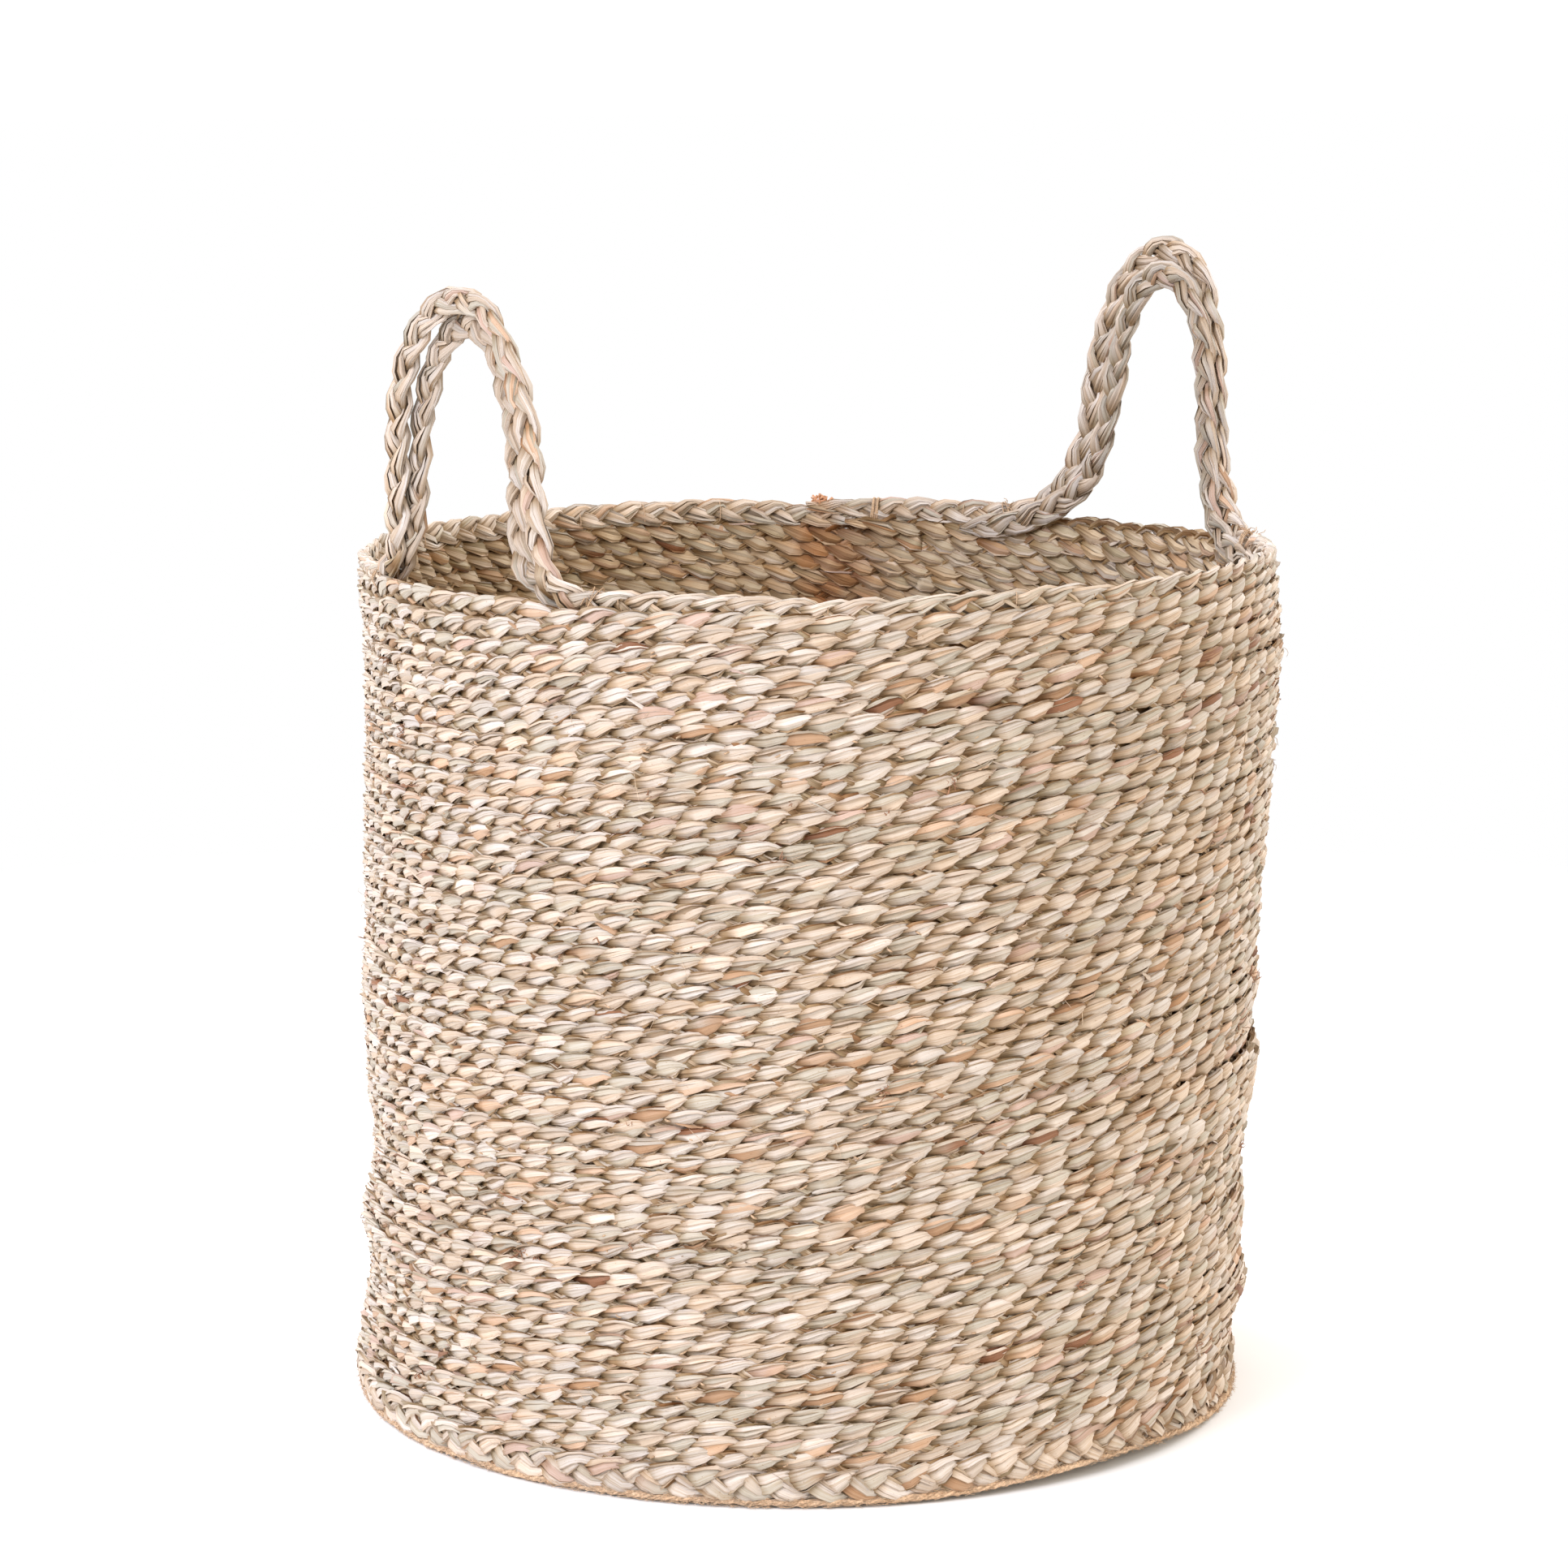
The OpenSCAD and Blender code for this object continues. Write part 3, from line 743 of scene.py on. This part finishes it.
# ------------------------------------------------------------- jute and fibres
def tubes(name, lines, radii, sides, material, nodes=(), body="basket", taper=True):
    """Many thin closed tubes in one mesh. Each line is an (n, 3) array, mm."""
    co, quads, tris = [], [], []
    base = 0
    for line, rad_ in zip(lines, radii):
        line = np.asarray(line, float)
        m = len(line)
        t = unit(np.gradient(line, axis=0))
        ref = np.array([0.31, 0.22, 0.93])
        a = unit(np.cross(t, ref))
        b = np.cross(t, a)
        rr = np.full(m, rad_) if np.isscalar(rad_) else np.asarray(rad_)
        if taper:
            rr = rr * np.minimum(1, 0.35 + 1.3 * np.minimum(np.arange(m), m - 1 - np.arange(m)) / max(1, m - 1) * 2)
        ang = 2 * math.pi * np.arange(sides) / sides
        ring = (line[:, None, :] + rr[:, None, None] * (a[:, None, :] * np.cos(ang)[None, :, None]
                                                        + b[:, None, :] * np.sin(ang)[None, :, None]))
        co.append(ring.reshape(-1, 3))
        k_ = np.arange(m - 1)[:, None] * sides
        j_ = np.arange(sides)[None, :]
        jn = (j_ + 1) % sides
        quads.append((np.stack([k_ + j_, k_ + jn, k_ + sides + jn, k_ + sides + j_], -1).reshape(-1, 4)) + base)
        for f in range(1, sides - 1):
            tris.append([base, base + f + 1, base + f])
            e = base + (m - 1) * sides
            tris.append([e, e + f, e + f + 1])
        base += m * sides
    co = np.concatenate(co) * 0.001
    quads = np.concatenate(quads)
    tris = np.array(tris)
    me = bpy.data.meshes.new(name)
    me.vertices.add(len(co))
    me.vertices.foreach_set("co", co.astype(np.float32).ravel())
    nq, nt_ = len(quads), len(tris)
    me.loops.add(nq * 4 + nt_ * 3)
    me.loops.foreach_set("vertex_index", np.concatenate([quads.ravel(), tris.ravel()]).astype(np.int32))
    me.polygons.add(nq + nt_)
    me.polygons.foreach_set("loop_start", np.concatenate([np.arange(nq) * 4, nq * 4 + np.arange(nt_) * 3]).astype(np.int32))
    me.update(calc_edges=True)
    me.polygons.foreach_set("use_smooth", np.ones(nq + nt_, bool))
    me.materials.append(material)
    me.validate()
    ob = bpy.data.objects.new(name, me)
    bpy.context.scene.collection.objects.link(ob)
    if nodes:
        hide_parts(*nodes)
    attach(ob, body)
    return ob


# jute cord round the bottom edge: three matted plies, and hairs
cord_lo, cord_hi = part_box("base_edge_cord")
CORD_R = (cord_hi.x * 1000) - 1.4
CORD_Z = 2.0
th = np.linspace(0, 2 * math.pi, 1500, endpoint=False)
plies, thick_ = [], []
w1 = noise(rng, th * 220, 34, 4)
w1[:, -60:] = w1[:, -60:] * np.linspace(1, 0, 60) + w1[:, :1] * np.linspace(0, 1, 60)
for j in range(4):
    k3 = noise(rng, th * 220, 7, 3)
    ph = th * 96 + 2 * math.pi * j / 4 + 0.5 * k3[0]
    rr = CORD_R + 0.8 * np.cos(ph) + 0.6 * w1[0] + 0.25 * k3[1]
    zz = CORD_Z + 0.8 * np.sin(ph) * (1 + 0.3 * w1[2]) + 0.35 * w1[1] + 0.2 * k3[2]
    rad_ = 0.8 * (1 + 0.25 * w1[3] + 0.2 * k3[1])
    zz = np.maximum(zz, rad_ + 0.05)
    p = np.stack([rr * np.cos(th), rr * np.sin(th), zz], 1)
    p = np.concatenate([p, p[:1]])
    plies.append(deform(p))
    thick_.append(np.concatenate([rad_, rad_[:1]]))
tubes("bottom_edge_jute_cord", plies, thick_, 6, MAT_CORD, nodes=["base_edge_cord"], taper=False)

hairs, hr = [], []
for i in range(5200):
    a = rng.uniform(0, 2 * math.pi)
    out_ = np.array([math.cos(a), math.sin(a), 0])
    tang = np.array([-math.sin(a), math.cos(a), 0])
    L = rng.uniform(2, 6.5)
    ring = rng.uniform(-1.2, 2.0)
    p0 = out_ * (CORD_R + 1.75 * math.cos(ring)) + np.array([0, 0, CORD_Z + 1.75 * math.sin(ring)])
    d1 = unit(tang * rng.choice([-1, 1]) + out_ * rng.uniform(-0.1, 0.22) + np.array([0, 0, rng.uniform(-0.45, 0.45)]))
    d2 = unit(d1 + 0.55 * rng.normal(0, 1, 3) * np.array([1, 1, 0.8]))
    pts = np.array([p0, p0 + out_ * rng.uniform(0.1, 0.5) + d1 * L * 0.5, p0 + out_ * rng.uniform(-0.3, 0.5) + d1 * L * 0.5 + d2 * L * 0.5])
    pts[:, 2] = np.maximum(pts[:, 2], 0.3)
    hairs.append(deform(pts))
    hr.append(rng.uniform(0.09, 0.2))
tubes("bottom_edge_jute_hairs", hairs, hr, 3, MAT_CORD)


def outside(a, z, out=0.0):
    r_ = wall_mid(z) + WALL / 2 + out
    return np.array([r_ * math.cos(a), r_ * math.sin(a), z])


# sewing thread where it shows between courses
lines, rads = [], []
for i in range(900):
    k_ = rng.integers(2, ROWS - 1)
    a = rng.uniform(0, 2 * math.pi)
    z0 = zc(k_) + rng.uniform(-0.5, 1.2)
    sl = rng.uniform(0.4, 1.1) * rng.choice([-1, 1], p=[0.3, 0.7])
    L = rng.uniform(2.2, 4.6)
    da = L / 225
    pts = [outside(a - da * 0.5, z0 - sl * L * 0.28, -3.0), outside(a - da * 0.25, z0 - sl * L * 0.16, -0.9),
           outside(a, z0, -0.25), outside(a + da * 0.25, z0 + sl * L * 0.16, -0.8), outside(a + da * 0.5, z0 + sl * L * 0.28, -3.0)]
    lines.append(deform(np.array(pts)))
    rads.append(rng.uniform(0.35, 0.55))
tubes("wall_stitch_thread", lines, rads, 5, MAT_THREAD, nodes=["wall_stitches"])

# thread loops over the rim: fine, drawn tight round the braid
lines, rads = [], []
cut_a = math.asin(72 / 221)
low = RIM_C[:, 2] < H + 12
for s0 in (0, math.pi):
    for i in range(1, 13):
        a = math.degrees(s0 + cut_a + i * (math.pi - 2 * cut_a) / 13 + rng.uniform(-0.03, 0.03))
        whip = abs(a - 43.4) < 5.4
        if whip:
            a = 43.4
        off = np.abs((RIM_T - a + 180) % 360 - 180) + 999 * ~low
        mid = int(np.argmin(off))
        mid = min(max(mid, 20), len(RIM_C) - 20)
        tt = unit(RIM_C[mid + 8] - RIM_C[mid - 8])
        nn = unit(RIM_N[mid] - tt * (RIM_N[mid] @ tt))
        up_ = np.cross(nn, tt)
        turns_ = 4 if whip else 1
        ang = np.linspace(0, 2 * math.pi * turns_, 20 * turns_ + 1)
        wide, flat = (5.9, 3.2) if whip else (5.5, 2.7)
        go = (ang / (2 * math.pi) - turns_ / 2) * 1.1 + (0.5 * np.sin(ang * 0.5 + 1.0) if whip else 0)
        loop_pts = (RIM_C[mid] + np.outer(wide * np.sin(ang), up_) + np.outer(flat * np.cos(ang), nn) + np.outer(go, tt))
        lines.append(loop_pts)
        rads.append(0.58 if whip else 0.24)
tubes("rim_thread_loops", lines, rads, 5, MAT_THREAD, nodes=["rim_stitches"], taper=False)

# lashings beside the handle feet: fine jute wound unevenly, with frayed ends
lines, rads = [], []
for (side, where), y0 in FOOT.items():
    sgn = -1 if side == "left" else 1
    yy = (y0 - 3) * (1 if where == "far" else -1)
    if side == "left":
        yy = (y0 - 3) * (1 if where == "far" else -1)
    a0 = math.atan2(yy, sgn * math.sqrt(wall_mid(H) ** 2 - yy * yy))
    turns_ = 7 if (side, where) == ("right", "near") else 3
    pts = []
    wob = noise(rng, np.arange(0, 2 * math.pi * turns_, 0.3), 1.6, 3)
    for q_, ang in enumerate(np.arange(0, 2 * math.pi * turns_, 0.3)):
        rr = wall_mid(H) + 3.6 * math.cos(ang) + 0.6 * math.cos(3 * ang) + 0.5 * wob[0][q_]
        zz = ZR + 0.2 + 6.9 * math.sin(ang) + 0.6 * wob[1][q_]
        aa = a0 + 0.005 * (ang / 6.28 - turns_ / 2) + 0.012 * wob[2][q_] + 0.012 * math.sin(ang)
        pts.append([rr * math.cos(aa), rr * math.sin(aa), zz])
    lines.append(deform(np.array(pts)))
    rads.append(0.32 if turns_ == 7 else 0.24)
    e = np.array([math.cos(a0), math.sin(a0), 0])
    t_ = np.array([-math.sin(a0), math.cos(a0), 0])
    for f in range(46 if turns_ == 7 else 12):
        L = rng.uniform(3, 9)
        p0 = e * (wall_mid(H) + rng.uniform(-2, 3.5)) + t_ * rng.normal(0, 5 if turns_ == 7 else 2.5) + np.array([0, 0, ZR + rng.uniform(-3, 8)])
        d1 = unit(rng.normal(0, 1, 3) + e * 0.4)
        d2 = unit(d1 + 0.8 * rng.normal(0, 1, 3))
        d3 = unit(d2 + 0.8 * rng.normal(0, 1, 3))
        lines.append(deform(np.cumsum(np.array([p0, d1 * L * 0.35, d2 * L * 0.35, d3 * L * 0.3]), 0)))
        rads.append(rng.uniform(0.1, 0.24))
tubes("handle_foot_lashing_thread", lines, rads, 5, MAT_THREAD, nodes=["handle_foot_lashings"], taper=False)

# frayed blade ends standing out of the far rim where a strand was spliced
lines, rads = [], []
mid = int(np.argmin(np.abs(RIM_T[:200] - 49.2)))
tt = unit(RIM_C[mid + 8] - RIM_C[mid - 8])
nn = unit(RIM_N[mid] - tt * (RIM_N[mid] @ tt))
up_ = np.cross(nn, tt)
for i in range(34):
    L = rng.uniform(4, 6.5)
    d_ = unit(up_ + rng.uniform(-0.8, 0.8) * tt - rng.uniform(0.0, 0.5) * nn)
    p0 = RIM_C[mid] + tt * rng.normal(0, 2.2) - nn * rng.uniform(0.5, 2.2) + up_ * rng.uniform(4.2, 6.0)
    lines.append(np.array([p0, p0 + d_ * L * 0.4, p0 + d_ * L * 0.7 + 0.5 * rng.normal(0, 1, 3), p0 + d_ * L + 0.9 * rng.normal(0, 1, 3)]))
    rads.append(rng.uniform(0.4, 0.7))
tubes("rim_frayed_splice", lines, rads, 5, jute("frayed_blades", lin(224, 166, 126) * 0.85), taper=False)

# stitches on the base
lines, rads = [], []
for i in range(260):
    a = rng.uniform(0, 2 * math.pi)
    r_ = rng.uniform(10, DISC_R - 14)
    e = np.array([math.cos(a), math.sin(a), 0])
    t_ = np.array([-math.sin(a), math.cos(a), 0])
    L = rng.uniform(3, 5)
    zz = 7.6
    pts = [e * r_ + np.array([0, 0, zz - 2]), e * (r_ + L * 0.3) + t_ * 0.5 + np.array([0, 0, zz + 0.2]), e * (r_ + L) + t_ + np.array([0, 0, zz - 2])]
    lines.append(np.array(pts) + CAM_R * -5.9)
    rads.append(0.5)
tubes("base_stitch_thread", lines, rads, 5, MAT_THREAD, nodes=["base_stitches"])

# splice ends: frayed brown curls where new blades were laid in
lines, rads = [], []
for i in range(150):
    k_ = rng.integers(2, ROWS)
    a = rng.uniform(0, 2 * math.pi)
    z0 = zc(k_) + rng.uniform(-1, 5)
    e = np.array([math.cos(a), math.sin(a), 0])
    t_ = np.array([-math.sin(a), math.cos(a), 0])
    up = np.array([0, 0, 1.0])
    big = rng.random() < 0.35
    main = t_ * rng.uniform(-1, 1) + up * rng.uniform(-0.7, 0.5)
    for f in range(rng.integers(6, 15) if big else rng.integers(3, 7)):
        L = rng.uniform(3, 8.5) if big else rng.uniform(2, 5)
        d_ = unit(main + 0.6 * rng.normal(0, 1, 3) + e * rng.uniform(0.0, 0.5))
        p0 = outside(a, z0, -1.6) + rng.normal(0, 0.9, 3) * np.array([1, 1, 0.7])
        pts = [p0]
        for q_ in range(4):
            pts.append(pts[-1] + d_ * L / 4 + e * (0.5 if q_ == 0 else -0.12))
            d_ = unit(d_ + 0.55 * rng.normal(0, 1, 3))
        lines.append(deform(np.array(pts)))
        rads.append(rng.uniform(0.13, 0.36))
tubes("splice_ends_outside", lines, rads, 4, MAT_TUFT)

# blade ends that have sprung out of their petals: short flat pointed strips
bl = Blades()
for i in range(330):
    inside_ = rng.random() < 0.22
    k_ = rng.integers(2, ROWS)
    a = rng.uniform(0, 2 * math.pi)
    sg = -1 if inside_ else 1
    e = np.array([math.cos(a), math.sin(a), 0]) * sg
    t_ = np.array([-math.sin(a), math.cos(a), 0])
    up = np.array([0, 0, 1.0])
    L = rng.uniform(7, 17)
    d_ = unit(t_ * rng.choice([-1, 1]) + up * rng.uniform(-0.1, 0.55) * 1.0)
    w_ = np.linspace(0, 1, 8)
    base_p = outside(a, zc(k_) + rng.uniform(-1, 5), -1.4 if sg > 0 else -WALL + 1.4)
    bow = rng.uniform(0.8, 2.6)
    pts = base_p + np.outer(w_ * L, d_) + np.outer(bow * w_ * (1.6 - w_), e) + np.cumsum(rng.normal(0, 0.16, (8, 3)), 0)
    pts = deform(pts)
    tn = unit(np.gradient(pts, axis=0))
    side_ = unit(np.cross(e[None, :] + 0.5 * rng.normal(0, 1, 3), tn))
    nn = np.cross(tn, side_)
    hw = rng.uniform(0.7, 1.7) * np.sqrt(np.clip(1.02 - w_, 0.01, 1))[:, None] * np.minimum(1, 0.5 + w_ * 3)[:, None]
    tone_ = PALETTE[rng.choice(len(PALETTE), p=np.array([0.14, 0.2, 0.2, 0.06, 0.06, 0.12, 0.08, 0.1, 0.04]))]
    bl.add(pts - side_ * hw, pts + nn * 0.35, pts + side_ * hw, np.tile(tone_ * rng.uniform(0.8, 1.05), (8, 1)), w_ * L, 1.5, rng.uniform(0, 900))
ob = bl.mesh("sprung_blade_ends", MAT_WALL)
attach(ob, "basket")

# long loose fibres that stand off the wall and the handles
lines, rads = [], []
for i in range(170):
    a = rng.uniform(0, 2 * math.pi)
    z0 = rng.uniform(15, H - 4)
    e = np.array([math.cos(a), math.sin(a), 0])
    t_ = np.array([-math.sin(a), math.cos(a), 0])
    L = rng.uniform(6, 17)
    d_ = unit(t_ * rng.uniform(-1, 1) + np.array([0, 0, rng.uniform(-0.5, 0.7)]))
    bow = rng.uniform(0.6, 2.6)
    w_ = np.linspace(0, 1, 6)
    p0 = outside(a, z0, -0.6)
    pts = p0 + np.outer(w_ * L, d_) + np.outer(bow * 4 * w_ * (1 - w_ * rng.uniform(0.5, 0.95)), e) + np.cumsum(rng.normal(0, 0.25, (6, 3)), 0)
    lines.append(deform(pts))
    rads.append(rng.uniform(0.1, 0.2))
tubes("loose_fibres_outside", lines, rads, 3, MAT_WISP)


# ------------------------------------------------------------ floor and light
def floor_material():
    """Pale matt floor that runs out into the white of the studio."""
    m, nt, bsdf = new_material("floor_pale")
    bsdf.inputs["Base Color"].default_value = (0.93, 0.93, 0.93, 1.0)
    bsdf.inputs["Roughness"].default_value = 0.9
    bsdf.inputs["Specular IOR Level"].default_value = 0.1
    tc = node(nt, "TexCoord")
    ln = node(nt, "VectorMath", operation="LENGTH")
    nt.links.new(tc.outputs["Object"], ln.inputs[0])
    glow = node(nt, "Emission")
    glow.inputs["Color"].default_value = (1, 1, 1, 1)
    glow.inputs["Strength"].default_value = 1.0
    mx = node(nt, "MixShader")
    nt.links.new(map_range(nt, ln.outputs["Value"], 0.5, 1.5, 0.0, 1.0), mx.inputs[0])
    nt.links.new(bsdf.outputs[0], mx.inputs[1])
    nt.links.new(glow.outputs[0], mx.inputs[2])
    out = next(n_ for n_ in nt.nodes if n_.type == "OUTPUT_MATERIAL")
    nt.links.new(mx.outputs[0], out.inputs[0])
    return m


me = bpy.data.meshes.new("floor")
me.from_pydata([(-40, -40, -0.0005), (40, -40, -0.0005), (40, 40, -0.0005), (-40, 40, -0.0005)], [], [(0, 1, 2, 3)])
floor = bpy.data.objects.new("floor", me)
bpy.context.scene.collection.objects.link(floor)
me.materials.append(floor_material())

world = bpy.data.worlds.new("studio")
bpy.context.scene.world = world
world.use_nodes = True
bg = world.node_tree.nodes["Background"]
bg.inputs[0].default_value = (1.0, 1.0, 1.0, 1.0)
bg.inputs[1].default_value = 1.17

F0 = np.array([-math.sin(AZ), math.cos(AZ), 0.0])


def area(name, pos, target, size, power, colour):
    li = bpy.data.lights.new(name, "AREA")
    li.shape = "RECTANGLE"
    li.size, li.size_y = size
    li.energy = power
    li.color = colour
    ob = bpy.data.objects.new(name, li)
    bpy.context.scene.collection.objects.link(ob)
    from mathutils import Vector
    ob.location = Vector(pos)
    ob.rotation_euler = (Vector(target) - Vector(pos)).to_track_quat("-Z", "Y").to_euler()
    return ob


def place(right, ahead, up):
    """A spot given by how far right of, beyond and above the basket's foot it is, seen from the camera."""
    return CAM_R * right + F0 * ahead + np.array([0, 0, up])


area("key_left", place(-1.7, -1.8, 1.7), (0, 0, 0.25), (1.5, 1.5), 58, (0.94, 0.98, 1.12))
area("fill_right", place(2.2, -1.3, 1.2), (0, 0, 0.25), (1.3, 1.3), 14, (1.0, 0.80, 0.45))
area("back_left", place(-1.7, 1.9, 1.5), (0, 0, 0.25), (1.3, 1.3), 26, (1.0, 0.99, 0.98))
area("back_right", place(1.9, 1.7, 1.5), (0, 0, 0.25), (1.3, 1.3), 26, (1.0, 0.97, 0.94))

# -------------------------------------------------------------------- camera
cam_data = bpy.data.cameras.new("camera")
cam = bpy.data.objects.new("camera", cam_data)
bpy.context.scene.collection.objects.link(cam)
PITCH_DOWN = math.radians(9.539)
pos = -F0 * 2.106 + CAM_R * (-0.0120) + np.array([0, 0, 0.652])
cam.location = tuple(pos)
cam.rotation_euler = (math.pi / 2 - PITCH_DOWN, 0, AZ)
cam_data.sensor_width = 36
cam_data.lens = 5314 / 1932 * 36
cam_data.clip_start = 0.05
cam_data.clip_end = 60
bpy.context.scene.camera = cam
bpy.context.scene.view_settings.view_transform = "Standard"
